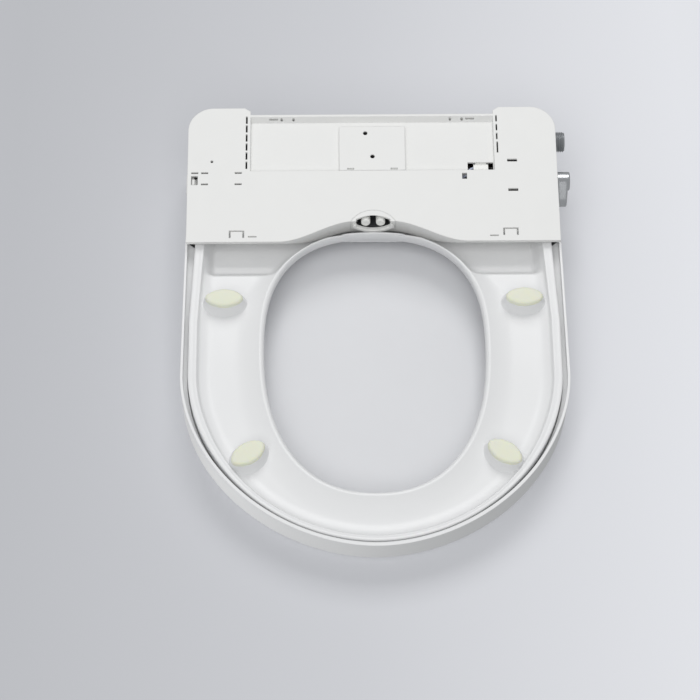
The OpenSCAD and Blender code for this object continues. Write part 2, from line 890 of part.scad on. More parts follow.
module lid_whole() {
    difference() {
        lid_outside();
        lid_inside();
        lid_slope_cut();
    }
}

// Side wall of the lid, with the lower halves of the two end discs.
module lid_rim() {
    color(shell_white) difference() {
        lid_whole();
        lid_above_wall(1);
    }
}

// Crown of the lid with its rolled rear and the two hinge arms.
module lid_shell() {
    color(shell_white) difference() {
        union() {
            difference() {
                lid_whole();
                lid_above_wall(-1);
            }
            for (side = [-1, 1]) mirror([side < 0 ? 1 : 0, 0, 0])
                along_x(lid_arm[0], lid_arm[1]) lid_arm_section();
        }
        rod_x(100, 172, hinge, shaft_r + running);
        rod_x(-172, -100, hinge, shaft_r);
    }
}

// Soft pad inside the lid that lands on the seat ring.
module lid_pad(side) {
    roof = lid_edge_z + lid_wall_h - lid_top_t + lid_top_h;
    color(cream) intersection() {
        translate([side * 60, -392, 38.4]) cylinder(h = 30, r = 6);
        translate([0, -lid_front, roof - 0.05]) rotate([lid_tilt, 0, 0])
            translate([-200, 0, -60]) cube([400, 400, 60]);
    }
}
module lid_pad_left() { lid_pad(1); }
module lid_pad_right() { lid_pad(-1); }

module lid_shaft() {
    color(steel) rod_x(-shaft_out, -shaft_in, hinge, shaft_r);
}

// ---------------------------------------------------------- moving pieces

// One rack tooth on each pitch, as points from the base line to the tip.
pitch = PI * tooth_module;
tooth_root = 1.15;
tooth_tip = 0.8;
function rack_points(count) = [
    for (i = [0:count - 1])
        let (y = pinion_y + pitch * (i - 0.5 - floor((pinion_y - rack_start) / pitch)))
            for (p = [[-tooth_root, -0.95], [tooth_tip, -0.25], [tooth_tip, 0.25], [-tooth_root, 0.95]])
                [rack_pitch_x + p[0], y + p[1]]
];

module nozzle(side) {
    count = floor((nozzle_len - rack_start) / pitch);
    teeth = rack_points(count);
    first = teeth[0][1];
    last = teeth[len(teeth) - 1][1];
    color([0.9, 0.9, 0.88]) nozzle_frame() mirror([side < 0 ? 1 : 0, 0, 0])
        translate([nozzle_x, 0, 0]) union() {
            translate([0, 9, 0]) rotate([-90, 0, 0]) cylinder(h = nozzle_len - 9, r = nozzle_r);
            translate([0, 0, -1.1]) linear_extrude(2.2)
                polygon(concat([[3.5, first]], teeth, [[3.5, last]]));
        }
}

// Spray head pressed on the front of a nozzle.
module nozzle_tip(side) {
    color([0.87, 0.87, 0.84]) nozzle_frame() translate([side * nozzle_x, 0, 0]) difference() {
        union() {
            translate([0, 0.8, 0]) rotate([-90, 0, 0]) cylinder(h = 8.2, r = nozzle_r);
            rotate([-90, 0, 0]) cylinder(h = 0.8, r = nozzle_r - 0.5);
        }
        for (x = [-1, 1]) translate([1.4 * x, 4.5, -nozzle_r - 1]) cylinder(h = 2.5, r = 0.5);
    }
}

module front_nozzle() { nozzle(1); }
module rear_nozzle() { nozzle(-1); }
module front_nozzle_tip() { nozzle_tip(1); }
module rear_nozzle_tip() { nozzle_tip(-1); }

// Toothed wheel that drives a nozzle's rack, with its spindle.
module pinion(side) {
    step = 360 / pinion_teeth;
    root = pinion_r - tooth_root;
    color([0.85, 0.83, 0.75]) nozzle_frame() translate([side * pinion_x, pinion_y, 0]) {
        translate([0, 0, -1.2]) cylinder(h = 2.4, r = root);
        translate([0, 0, -1.2]) linear_extrude(2.4) for (i = [0:pinion_teeth - 1])
            rotate(180 + i * step)
                polygon([[root - 1, -0.85], [pinion_r + tooth_tip, -0.22],
                         [pinion_r + tooth_tip, 0.22], [root - 1, 0.85]]);
        cylinder(h = 11, r = 1.5);
    }
}
module front_pinion() { pinion(1); }
module rear_pinion() { pinion(-1); }

// Lever outline in the (Y, Z) plane: round hub and a tapering arm.
module lever_section(r_hub, r_tip) {
    translate(knob) circle(r_hub);
    translate(knob - [lever_len - r_tip, 0]) circle(r_tip);
    polygon([
        knob + [-1, r_hub], knob + [-lever_len + r_tip, r_tip],
        knob + [-lever_len + r_tip, -r_tip], knob + [-1, -r_hub]
    ]);
}

// Room for the lever's arm, whose outer face comes in towards the tip.
module lever_side_taper(x_in) {
    translate([0, 0, knob[1] - 12]) linear_extrude(24) polygon([
        [x_in + 1, knob[0] + 12], [x_in - lever_arm_t, knob[0] + 12], [x_in - lever_arm_t, knob[0] - 10],
        [x_in - lever_arm_t + lever_narrowing, knob[0] - lever_len - 1], [x_in + 1, knob[0] - lever_len - 1]
    ]);
}

module selector_lever() {
    x_in = -base_x - lever_gap;
    color([0.8, 0.8, 0.82]) difference() {
        union() {
            intersection() {
                along_x(x_in - lever_arm_t, x_in) lever_section(8.6, 5);
                lever_side_taper(x_in);
            }
            rod_x(x_in - lever_hub_t, x_in, knob, 9.6);
            rod_x(x_in, -base_x - 0.4, knob, 7.5);
        }
        rod_x(x_in - 6, -base_x + 1, knob, spindle_r);
    }
}

module selector_spindle() {
    x_in = -base_x - lever_gap;
    color(steel) rod_x(x_in - 6, -160, knob, spindle_r);
}

// Window and push button in the left side wall.
module release_button_window(grow) {
    block([170, -52 - grow, 6 - grow], [base_x + 1, -30 + grow, 15 + grow]);
}

module release_button() {
    color(white) union() {
        block([181, -52, 6], [base_x + 1, -30, 15]);
        block([174, -46, 7], [181, -35, 12]);
        along_y(-44, -37) polygon([[177.5, 7], [183, 7], [183, 3], [180.5, 3]]);
    }
}

base_pan();
mount_block();
nozzle_shroud();
base_cover();
hinge_cap_left();
hinge_cap_right();
seat_damper();
lid_damper();
nozzle_cradle();
nozzle_hood();
front_motor();
rear_motor();
selector_valve();
inlet_fitting();
solenoid_valve();
flow_regulator();
instant_heater();
heater_feed_tube();
air_pump();
control_board();
power_module();
wire_connector();
cord_gland();
seat_top();
seat_rim();
seat_lip();
seat_bottom();
seat_heater();
seat_foot_rear_left();
seat_foot_rear_right();
seat_foot_front_left();
seat_foot_front_right();
seat_shaft();
lid_shell();
lid_rim();
lid_pad_left();
lid_pad_right();
lid_shaft();
rear_nozzle();
rear_nozzle_tip();
front_nozzle();
front_nozzle_tip();
rear_pinion();
front_pinion();
selector_lever();
selector_spindle();
release_button();
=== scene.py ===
"""Looks of the electric bidet seat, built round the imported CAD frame.

The part's lengths are millimetres in the frame's axes (+Z up, front to -Y) until
MM turns them into metres. The stage, the lights and the camera are in metres.
"""

import json
import math

import bmesh
import bpy
import numpy as np
from mathutils import Matrix, Vector


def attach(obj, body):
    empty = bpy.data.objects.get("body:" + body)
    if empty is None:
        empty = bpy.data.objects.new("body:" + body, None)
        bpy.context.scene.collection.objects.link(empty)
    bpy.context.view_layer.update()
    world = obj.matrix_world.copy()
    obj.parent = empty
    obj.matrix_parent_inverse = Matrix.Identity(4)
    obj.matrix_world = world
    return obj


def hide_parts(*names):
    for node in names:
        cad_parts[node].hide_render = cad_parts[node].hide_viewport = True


MM = 0.001

# ------------------------------------------------------- sizes shared with the CAD

HINGE_Y, HINGE_Z = -26.0, 62.0
FRONT_POWER, SEAT_POWER = 1.9, 1.93
CURVE_Y = -252.0
FULL_TURN = 2 * math.pi

SEAT_HALF, SEAT_HALF_REAR, SEAT_TAPER_Y = 183.3, 175.6, -195.0
SEAT_FRONT, SEAT_REAR, CAVITY_REAR = 427.2, -52.0, -74.0
SEAT_TILT = math.radians(1.54)
RIM_Z, LIP_Z, UNDER_Z, RELIEF_Z, RELIEF_Y = 8.0, 10.5, 16.0, 28.0, -138.0
BOSS_Z = 11.5
SEAT_TOP_Z, SEAT_SHOULDER, HOLE_ROUND_FROM = 37.2, 14.0, 16.4
SIDE_CLEAR_Y, SIDE_CLEAR_RISE, SIDE_CLEAR_RUN = -106.0, 30, 54.5
MIDDLE_CLEAR_Y, MIDDLE_CLEAR_Z, MIDDLE_CLEAR_RISE, MIDDLE_CLEAR_RUN = -93.5, 34, 7, 43.5
MIDDLE_CLEAR_HALF = 105
LIP_CLEAR_Y = -97.5
BAND_WIDTH = 9.0
HOLE_HALF, HOLE_WIDE_Y, HOLE_REAR, HOLE_FRONT = 109.0, -223.0, 97.0, 376.0
HOLE_REAR_POWER, HOLE_FRONT_POWER = 2.52, 2.3
SEAT_ARM = (131.5, 150.0)
HUB_R = 12.0

LID_HALF, LID_HINGE_HALF, LID_FRONT = 191.0, 188.5, 432.0
LID_REAR_Y, LID_EDGE_Z, LID_WALL_TOP = -98.0, 10.0, 38.6
LID_WALL, LID_SIDE_THINNER, LID_TOP, LID_NOSE_R = 4.0, 1.3, 3.0, 28.0
LID_TILT = math.radians(5.35)
LID_ARM = (152.0, 170.0)

BASE_HALF = 187.5
KNOB_Y, KNOB_Z = -30.0, 24.0
INLET_Y, INLET_Z, INLET_R, INLET_END = 18.0, 27.0, 10.4775, 198.5
INLET_PITCH, INLET_BORE = 1.814, 7.4
NOZZLE_X, NOZZLE_Y, NOZZLE_Z, NOZZLE_TILT = 7.5, -87, 6.5, math.radians(15)


# ------------------------------------------------------------------ small helpers


def smooth(u):
    """Smooth step from 0 to 1."""
    t = min(1.0, max(0.0, u))
    return t * t * (3 - 2 * t)


def ease_out(u):
    """Rises fast from 0 and comes to rest at 1."""
    t = min(1.0, max(0.0, u))
    return 1 - (1 - t) ** 2


def link(name, data):
    """A new object in the scene that holds a mesh, curve, light or camera."""
    obj = bpy.data.objects.new(name, data)
    bpy.context.scene.collection.objects.link(obj)
    return obj


def mesh_object(name, points, faces, sharp=35.0):
    """A smooth-shaded object from points in millimetres and their faces."""
    mesh = bpy.data.meshes.new(name)
    mesh.from_pydata([tuple(c * MM for c in p) for p in points], [], faces)
    bm = bmesh.new()
    bm.from_mesh(mesh)
    bmesh.ops.remove_doubles(bm, verts=bm.verts, dist=1e-6)
    bmesh.ops.recalc_face_normals(bm, faces=bm.faces)
    bm.to_mesh(mesh)
    bm.free()
    mesh.shade_smooth()
    mesh.set_sharp_from_angle(angle=math.radians(sharp))
    return link(name, mesh)


def skin(loops, closed_ends=(False, False), around=False):
    """Points and quads through loops of equal length, with optional end caps."""
    count = len(loops[0])
    points = [p for loop in loops for p in loop]
    faces = []
    rows = len(loops) if around else len(loops) - 1
    for i in range(rows):
        a, b = i * count, (i + 1) % len(loops) * count
        for j in range(count):
            k = (j + 1) % count
            faces.append((a + j, a + k, b + k, b + j))
    if closed_ends[0]:
        faces.append(tuple(range(count - 1, -1, -1)))
    if closed_ends[1]:
        faces.append(tuple(range((len(loops) - 1) * count, len(loops) * count)))
    return points, faces


def bevelled(obj, width, segments=3, angle=40.0):
    """Rounds an object's sharp edges for real."""
    mod = obj.modifiers.new("rounded", "BEVEL")
    mod.width = width * MM
    mod.segments = segments
    mod.limit_method = "ANGLE"
    mod.angle_limit = math.radians(angle)
    mod.harden_normals = False
    return obj


def combine(obj, other, operation):
    """Joins another closed mesh to obj, or cuts it away, and drops the other."""
    mod = obj.modifiers.new(operation, "BOOLEAN")
    mod.operation = operation
    mod.solver = "EXACT"
    mod.object = other
    depsgraph = bpy.context.evaluated_depsgraph_get()
    result = bpy.data.meshes.new_from_object(obj.evaluated_get(depsgraph))
    obj.modifiers.clear()
    obj.data = result
    bpy.data.objects.remove(other)
    return obj


def place(obj, body, slot, *nodes, look=None):
    """Puts a finished piece on its body, in its finish, in place of CAD nodes."""
    obj.data.materials.clear()
    obj.data.materials.append(FINISH[look or slot])
    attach(obj, body)
    if nodes:
        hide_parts(*nodes)


# ---------------------------------------------------------------------- outlines


def quarter(half, centre_y, reach, power, steps=160):
    """Superellipse quarter from the side round to its end at centre_y + reach."""
    points = []
    for i in range(steps + 1):
        t = math.pi / 2 * i / steps
        points.append((half * math.cos(t) ** (2 / power), centre_y + reach * math.sin(t) ** (2 / power)))
    return points


def mirrored_loop(right):
    """Closes a right half, which runs from the rear to the front, into a loop."""
    left = [(-x, y) for x, y in reversed(right) if x > 1e-6]
    return right + left


def line(a, b, steps):
    """Points from a towards b, without b itself."""
    return [(a[0] + (b[0] - a[0]) * i / steps, a[1] + (b[1] - a[1]) * i / steps) for i in range(steps)]


def seat_outline(inset, rear_y):
    """Round-fronted ring outline whose sides draw in towards the rear."""
    half, corner = SEAT_HALF - inset, (SEAT_HALF_REAR - inset, rear_y)
    right = line((0, rear_y), corner, 60) + line(corner, (half, SEAT_TAPER_Y), 60)
    right += line((half, SEAT_TAPER_Y), (half, CURVE_Y), 20)
    return mirrored_loop(right + quarter(half, CURVE_Y, inset - SEAT_FRONT - CURVE_Y, SEAT_POWER))


def hole_outline(grow):
    """The ring's hole, widened all round by grow."""
    rear = quarter(HOLE_HALF + grow, HOLE_WIDE_Y, -HOLE_WIDE_Y - HOLE_REAR + grow, HOLE_REAR_POWER)
    front = quarter(HOLE_HALF + grow, HOLE_WIDE_Y, -(HOLE_FRONT + HOLE_WIDE_Y) - grow, HOLE_FRONT_POWER)
    return mirrored_loop(list(reversed(rear)) + front[1:])


def radial(outline, angles):
    """Where rays from the middle of the hole at these angles meet an outline."""
    points = np.array(outline, float)
    offset = points - np.array([0.0, HOLE_WIDE_Y])
    angle = np.arctan2(offset[:, 1], offset[:, 0])
    order = np.argsort(angle)
    reach = np.interp(angles, angle[order], np.hypot(*offset.T)[order], period=2 * math.pi)
    return np.stack([reach * np.cos(angles), HOLE_WIDE_Y + reach * np.sin(angles)], 1)


def even_angles(outline, count):
    """Angles of points spread evenly along an outline."""
    points = np.array(outline + outline[:1], float)
    run = np.concatenate([[0], np.cumsum(np.hypot(*np.diff(points, axis=0).T))])
    at = np.linspace(0, run[-1], count, endpoint=False)
    x, y = np.interp(at, run, points[:, 0]), np.interp(at, run, points[:, 1])
    return np.sort(np.arctan2(y - HOLE_WIDE_Y, x))


# ------------------------------------------------------------------------- seat


def rear_slope(x, y):
    """Least height of the ring's underside at its rear, so that it clears the base."""
    side, middle = 0.0, 0.0
    if y > SIDE_CLEAR_Y:
        side = RIM_Z + (y - SIDE_CLEAR_Y) * SIDE_CLEAR_RISE / SIDE_CLEAR_RUN
    if y > MIDDLE_CLEAR_Y - 0.5:
        middle = MIDDLE_CLEAR_Z + (y - MIDDLE_CLEAR_Y) * MIDDLE_CLEAR_RISE / MIDDLE_CLEAR_RUN
    return max(side, middle * smooth((MIDDLE_CLEAR_HALF - abs(x)) / 2))


def rear_share(y):
    """From 0 at the hole's sides to 1 at its rear."""
    return smooth((y + 175) / 70)


def seat_top_z(level, y):
    """Height at y of a level that tilts up from the ring's front."""
    return level + (y + SEAT_FRONT) * math.tan(SEAT_TILT)


def under_depth(x, y, from_band, from_lip):
    """Height of the hollow underside, by the distances from its two edges."""
    outer = RIM_Z + 3.6 * smooth(from_band / 2.4) + 4.4 * ease_out(from_band / 15)
    steep = rear_share(y)
    inner = LIP_Z + 5.5 * ease_out(from_lip / (26 - 20 * steep))
    z = min(outer, inner)
    step = smooth((y - RELIEF_Y + 3) / 8) * smooth((from_band - 1.5) / 10)
    step *= smooth((from_lip - 0.5 + 0.5 * steep) / (9 - 6 * steep))
    z += (RELIEF_Z - UNDER_Z) * step
    return max(z, rear_slope(x, y))


def seat_ring():
    """The ring as loops that run round its section: under, up, over and back."""
    angles = even_angles(seat_outline(0, SEAT_REAR), 560)
    edge = radial(seat_outline(0, SEAT_REAR), angles)
    band_edge = radial(seat_outline(BAND_WIDTH, CAVITY_REAR), angles)
    hole, grown = radial(hole_outline(0), angles), radial(hole_outline(10), angles)
    narrow = np.array([1 - 0.42 * smooth((-y - 300) / 110) for y in edge[:, 1]])[:, None]

    def rim(inset):
        return edge + (band_edge - edge) * (inset / BAND_WIDTH) * narrow

    slim = np.array([1 - 0.62 * rear_share(y) for y in hole[:, 1]])[:, None]
    round_r = np.array([seat_top_z(SEAT_TOP_Z, y) - HOLE_ROUND_FROM for y in hole[:, 1]])[:, None]

    def lip(grow):
        return hole + (grown - hole) * grow / 10

    loops = []

    def add(plan, height):
        loops.append([(x, y, height(x, y)) for x, y in plan])

    # the hole's lip, rounded on both edges
    for grow, z in [(0, 16.2), (0.1, 14.8), (0.4, 13.3), (0.95, 12.1), (1.8, 11.2), (2.8, 10.7), (3.8, LIP_Z),
                    (4.6, LIP_Z)]:
        add(lip(grow * slim), lambda x, y, z=z: max(z, rear_slope(x, y) if y < LIP_CLEAR_Y else z))
    # the hollow underside
    inner, outer = lip(5.0 * slim), rim(8.2)
    across = outer - inner
    span = np.hypot(*across.T)
    steps = 44
    for i in range(steps + 1):
        v = i / steps
        v = 0.5 - 0.5 * math.cos(math.pi * v) * (1 - 0.25 * math.sin(math.pi * v) ** 2)
        plan = inner + across * v
        loops.append([
            (x, y, under_depth(x, y, d * (1 - v), d * v)) for (x, y), d in zip(plan, span)
        ])
    # the band round the outside, then the outer wall and the rounded top
    for inset, z in [(7.6, RIM_Z), (5.2, RIM_Z), (4.6, 8.18), (4.0, RIM_Z), (1.6, RIM_Z), (0.7, 8.12),
                     (0.2, 8.5), (0, 9.2)]:
        add(rim(inset), lambda x, y, z=z: max(z, rear_slope(x, y)))
    for inset, level in [(0, 20), (0, 28), (0.25, 29.9), (0.8, 31.4), (1.6, 32.5), (2.8, 34.1), (4.6, 35.5),
                         (7, 36.5), (10, 37.1), (SEAT_SHOULDER, SEAT_TOP_Z)]:
        plan = radial(seat_outline(inset, SEAT_REAR - inset / 2), angles)
        add(plan, lambda x, y, level=level: max(seat_top_z(level, y), rear_slope(x, y) + 0.05))
    shoulder = radial(seat_outline(SEAT_SHOULDER, SEAT_REAR - SEAT_SHOULDER / 2), angles)
    for v in np.linspace(0.1, 0.9, 9):
        dish = 0.9 * math.sin(math.pi * v)
        add(shoulder + (lip(round_r) - shoulder) * v, lambda x, y, d=dish: seat_top_z(SEAT_TOP_Z - d, y))
    for turn in np.linspace(math.pi / 2, 0, 15):
        plan, drop = lip(round_r * (1 - math.cos(turn))), round_r[:, 0] * (1 - math.sin(turn))
        loops.append([(x, y, seat_top_z(SEAT_TOP_Z, y) - d) for (x, y), d in zip(plan, drop)])
    points, faces = skin(loops, around=True)
    return mesh_object("seat_ring", points, faces, sharp=60)


def disc_points(centre_y, centre_z, r, a0, a1, steps):
    """Points along an arc, as (Y, Z), from one angle to another in degrees."""
    return [
        (centre_y + r * math.cos(math.radians(a0 + (a1 - a0) * i / steps)),
         centre_z + r * math.sin(math.radians(a0 + (a1 - a0) * i / steps)))
        for i in range(steps + 1)
    ]


def slab(name, outline, x0, x1):
    """A closed slab along X from a (Y, Z) outline."""
    loops = [[(x, y, z) for y, z in outline] for x in (x0, x1)]
    points, faces = skin(loops, (True, True))
    return mesh_object(name, points, faces)


def seat_arms():
    """Two hinge arms under the ring's rear corners."""
    outline = disc_points(HINGE_Y, HINGE_Z, HUB_R, -60, 150, 28)
    outline += [(-62, 44), (-62, 34.8), (-50, 34.8)]
    left = slab("seat_arms", outline, SEAT_ARM[0], SEAT_ARM[1])
    right = slab("arm", outline, -SEAT_ARM[1], -SEAT_ARM[0])
    return bevelled(combine(left, right, "UNION"), 1.2)


# centre, half length, half width and turn of each foot
FEET = {
    "rear_left": ((148.6, -172.5), 18.8, 10, 0),
    "rear_right": ((-148.6, -172.5), 18.8, 10, 0),
    "front_left": ((123.4, -339), 18.5, 11.1, -33),
    "front_right": ((-123.4, -339), 18.5, 11.1, 33),
}
FOOT_POWER = 1.85
FOOT_PROFILE = [(-5.5, 0.05), (-3.0, 0.0), (-1.8, 0.25), (-0.9, 0.8), (-0.35, 1.7), (-0.1, 2.8), (0.0, 4.2),
                (-1.5, BOSS_Z)]
BOSS_PROFILE = [(-1.0, 4.0), (0.1, 4.05), (0.45, 4.4), (0.9, 6.0), (1.9, 10.0), (2.9, 13.2), (4.0, 15.2),
                (5.5, 17.0), (5.5, 18)]


def foot_outline(half_len, half_wide, grow, count=72):
    """Oval with pointed-round ends, as a loop of (x, y)."""
    points = []
    for i in range(count):
        a = FULL_TURN * i / count
        c, s = math.cos(a), math.sin(a)
        along, across = abs(c / (half_len + grow)), abs(s / (half_wide + grow))
        r = (along ** FOOT_POWER + across ** FOOT_POWER) ** (-1 / FOOT_POWER)
        points.append((r * c, r * s))
    return points


def oval_form(name, foot, profile):
    """An upright oval form from (grow, z) points, at one of the ring's four feet."""
    centre, half_len, half_wide, turn = foot
    angle = math.radians(turn)
    loops = []
    for grow, z in profile:
        loop = []
        for x, y in foot_outline(half_len, half_wide, grow):
            loop.append((
                centre[0] + x * math.cos(angle) - y * math.sin(angle),
                centre[1] + x * math.sin(angle) + y * math.cos(angle),
                z,
            ))
        loops.append(loop)
    points, faces = skin(loops, (True, True))
    return mesh_object(name, points, faces, sharp=70)


# -------------------------------------------------------------------------- lid


def lid_loop(inset, level, side=0.0, steps=72):
    """One slice of the lid's outline, tilted up from its front."""
    half = LID_HALF - inset + side
    right = [(LID_HINGE_HALF - inset + side, LID_REAR_Y)]
    right += quarter(half, CURVE_Y, -(LID_FRONT - inset + CURVE_Y), FRONT_POWER, steps)
    loop = mirrored_loop(right)
    if level is None:
        return [(x, y, LID_EDGE_Z) for x, y in loop]
    return [(x, y, level + (y + LID_FRONT) * math.tan(LID_TILT)) for x, y in loop]


def hull_object(name, points):
    """A closed convex form round points in millimetres."""
    mesh = bpy.data.meshes.new(name)
    bm = bmesh.new()
    for p in points:
        bm.verts.new(Vector(p) * MM)
    made = bmesh.ops.convex_hull(bm, input=bm.verts)
    loose = {g for g in made["geom_interior"] + made["geom_unused"] if isinstance(g, bmesh.types.BMVert)}
    bmesh.ops.delete(bm, geom=list(loose), context="VERTS")
    bmesh.ops.recalc_face_normals(bm, faces=bm.faces)
    bm.to_mesh(mesh)
    bm.free()
    return link(name, mesh)


NOSE_EDGE = [(0, 2.5), (0.4, 1.5), (1.2, 0.6), (3, 0)]
SHOULDER = [(0, 0), (0.12, 1.9), (0.55, 3.8), (1.4, 5.5), (2.8, 7.6), (4.8, 9.5), (7.2, 11.0), (10, 12.0),
            (14.5, 12.95), (20, 13.4)]


def lid_form(name, drop, wall):
    """Closed lid shape, from its outside (wall 0) or drawn in by the wall."""
    side = LID_SIDE_THINNER if drop else 0.0
    points = list(lid_loop(wall, None, side))
    if drop:
        points = [(x, y, 0.0) for x, y, _ in points]
    for inset, rise in SHOULDER:
        points += lid_loop(wall + inset, LID_WALL_TOP + rise - drop, side)
    nose = LID_NOSE_R - drop
    for x_in, r_in in [(wall - side, 0)] if drop else NOSE_EDGE:
        for hand in (-1, 1):
            for y, z in disc_points(HINGE_Y, HINGE_Z, nose - r_in, 0, 360, 96):
                points.append((hand * (LID_HINGE_HALF - x_in), y, z))
    return hull_object(name, points)


def lid_shell():
    """Thin lid with a rolled rear nose, open below, and two hinge arms."""
    lid = lid_form("lid", 0, 0)
    combine(lid, lid_form("inside", LID_TOP, LID_WALL), "DIFFERENCE")
    clear = slab("clear", [(LID_REAR_Y, -5), (LID_REAR_Y, LID_EDGE_Z), (-45, 39.2), (HINGE_Y, HINGE_Z - 14),
                           (HINGE_Y + 60, HINGE_Z), (HINGE_Y + 60, -8)], -200, 200)
    combine(clear, slab("disc", disc_points(HINGE_Y, HINGE_Z, LID_NOSE_R, 0, 360, 96)[:-1], -201, 201),
            "DIFFERENCE")
    combine(lid, clear, "DIFFERENCE")
    inner = LID_HINGE_HALF - LID_WALL + LID_SIDE_THINNER + 0.01
    below = [(HINGE_Y, HINGE_Z), (HINGE_Y + 52, HINGE_Z + 30), (60, 60), (60, -20), (LID_REAR_Y, -20),
             (LID_REAR_Y, LID_EDGE_Z - 1)]
    combine(lid, slab("below", below, -inner, inner), "DIFFERENCE")
    arm = disc_points(HINGE_Y, HINGE_Z, HUB_R, 180, 360, 24) + [(-18, 87), (-60, 84.6)]
    for side in (-1, 1):
        x0, x1 = sorted((side * LID_ARM[0], side * LID_ARM[1]))
        combine(lid, slab("arm", arm, x0, x1), "UNION")
    lid.data.shade_smooth()
    lid.data.set_sharp_from_angle(angle=math.radians(28))
    mod = lid.modifiers.new("even_shading", "WEIGHTED_NORMAL")
    mod.keep_sharp = True
    return lid


LINING_REAR, LINING_INSET, LINING_CORNER, LINING_LIFT = -63.0, 30.0, 24.0, 7.5


def lining_outline(inset):
    """The inner panel's outline: round at the front, with two rounded rear corners."""
    half, rear, r = LID_HALF - 4 - inset, LINING_REAR - (inset - LINING_INSET), LINING_CORNER
    right = line((0, rear), (half - r, rear), 40)
    for i in range(17):
        a = math.pi / 2 * i / 16
        right.append((half - r + r * math.sin(a), rear - r + r * math.cos(a)))
    right += line((half, rear - r), (half, CURVE_Y), 40)[1:]
    return mirrored_loop(right + quarter(half, CURVE_Y, inset - LID_FRONT - CURVE_Y, FRONT_POWER))


def lid_lining():
    """The lid's inner panel, which dips close to the seat and turns up all round."""
    angles = even_angles(lining_outline(LINING_INSET), 360)
    loops = []
    for step in np.linspace(0, 1, 14):
        loop = []
        for x, y in radial(lining_outline(LINING_INSET + 18 * step), angles):
            edge = LID_WALL_TOP + 11.0 + (y + LID_FRONT) * math.tan(LID_TILT)
            panel = seat_top_z(SEAT_TOP_Z + LINING_LIFT, y)
            loop.append((x, y, edge + (panel - edge) * smooth(step)))
        loops.append(loop)
    points, faces = skin(loops, (False, True))
    lining = mesh_object("lid_lining", points, faces, sharp=60)
    mod = lining.modifiers.new("thickness", "SOLIDIFY")
    mod.thickness, mod.offset = 1.2 * MM, 0
    return lining


LEDGE_Z, LEDGE_TOP, LEDGE_END_Y = (18.0, 20.5), 27.0, -99.6


def lid_ledge():
    """A ledge inside the lid's wall that closes the slit round the ring."""
    plan = [p[:2] for p in lid_loop(LID_WALL - 0.6, None, LID_SIDE_THINNER)]
    outer_plan = [p for a, b in zip(plan, plan[1:] + plan[:1]) for p in line(a, b, 24)[:-1]]
    inner_plan = seat_outline(-0.8, SEAT_REAR)
    end = math.atan2(LEDGE_END_Y - HOLE_WIDE_Y, LID_HALF)
    angles = np.linspace(-math.pi - end, end, 400)
    loops = []
    for (xo, yo), (xi, yi) in zip(radial(outer_plan, angles), radial(inner_plan, angles)):
        loops.append([(xo, yo, LEDGE_Z[0]), (xi, yi, LEDGE_Z[1]), (xi, yi, LEDGE_TOP), (xo, yo, LEDGE_TOP)])
    points, faces = skin(loops, (True, True))
    return mesh_object("lid_ledge", points, faces, sharp=40)


# ---------------------------------------------------------------- base and fittings


def refined(node, sharp=28.0):
    """A CAD node with its seams joined, so that its curved faces shade smoothly."""
    mesh = frame["nodes"][node].data.copy()
    if mesh.has_custom_normals:
        mesh.attributes.remove(mesh.attributes["custom_normal"])
    bm = bmesh.new()
    bm.from_mesh(mesh)
    bmesh.ops.remove_doubles(bm, verts=bm.verts, dist=2e-6)
    bmesh.ops.dissolve_degenerate(bm, edges=bm.edges, dist=1e-7)
    bm.to_mesh(mesh)
    bm.free()
    mesh.shade_smooth()
    mesh.set_sharp_from_angle(angle=math.radians(sharp))
    obj = link(node + "_look", mesh)
    mod = obj.modifiers.new("even_shading", "WEIGHTED_NORMAL")
    mod.keep_sharp = True
    return obj


FOIL_BACK = 18.0


def seat_foil():
    """The heating foil, drawn back from the rounded edge of the hole."""
    foil = refined("seat_heater")
    middle = Vector((0, HOLE_WIDE_Y * MM))
    for vertex in foil.data.vertices:
        offset = vertex.co.xy - middle
        edge = radial(hole_outline(FOIL_BACK), np.array([math.atan2(offset.y, offset.x)]))[0]
        least = math.hypot(edge[0], edge[1] - HOLE_WIDE_Y) * MM
        if offset.length < least:
            vertex.co.xy = middle + offset.normalized() * least
    return foil


def lathe_x(name, profile, centre_y, centre_z, count=72):
    """A turned piece about a line along X from (x, radius) points."""
    loops = []
    for x, r in profile:
        loops.append([(x, y, z) for y, z in disc_points(centre_y, centre_z, r, 0, 360, count)[:-1]])
    points, faces = skin(loops, (True, True))
    return mesh_object(name, points, faces, sharp=40)


def thread(name, x0, x1, crest, root, pitch, bore):
    """Hose union with a helical outside thread and a bore that stops near its root."""
    count = 72
    lead, rows = 1.2, int((x1 - x0) / pitch * 12)
    loops = []
    for i in range(rows + 1):
        x = x0 + (x1 - x0) * i / rows
        end = smooth((x - x0) / lead) * smooth((x1 - x) / lead)
        loop = []
        for j in range(count):
            turn = j / count
            phase = ((x - x0) / pitch + turn) % 1.0
            tooth = min(1.0, max(0.0, 1.35 - abs(phase - 0.5) * 3.4))
            r = root + (crest - root) * tooth * end
            a = FULL_TURN * turn
            loop.append((-x, INLET_Y + r * math.cos(a), INLET_Z + r * math.sin(a)))
        loops.append(loop)
    for x, r in [(x1, bore + 0.5), (x1 - 0.4, bore), (x0 + 2, bore)]:
        loops.append([(-x, y, z) for y, z in disc_points(INLET_Y, INLET_Z, r, 0, 360, count)[:-1]])
    points, faces = skin(loops, (True, True))
    return mesh_object(name, points, faces, sharp=50)


def inlet():
    """The threaded water inlet and the flange at its root."""
    outside = thread("inlet_thread", 186.0, INLET_END, INLET_R, INLET_R - 1.15, INLET_PITCH, INLET_BORE)
    collar = [(-187, 9.9), (-179, 9.9), (-178.8, 12.5), (-176.2, 12.5), (-176, 8), (-172, 8)]
    return outside, lathe_x("flange", collar, INLET_Y, INLET_Z)


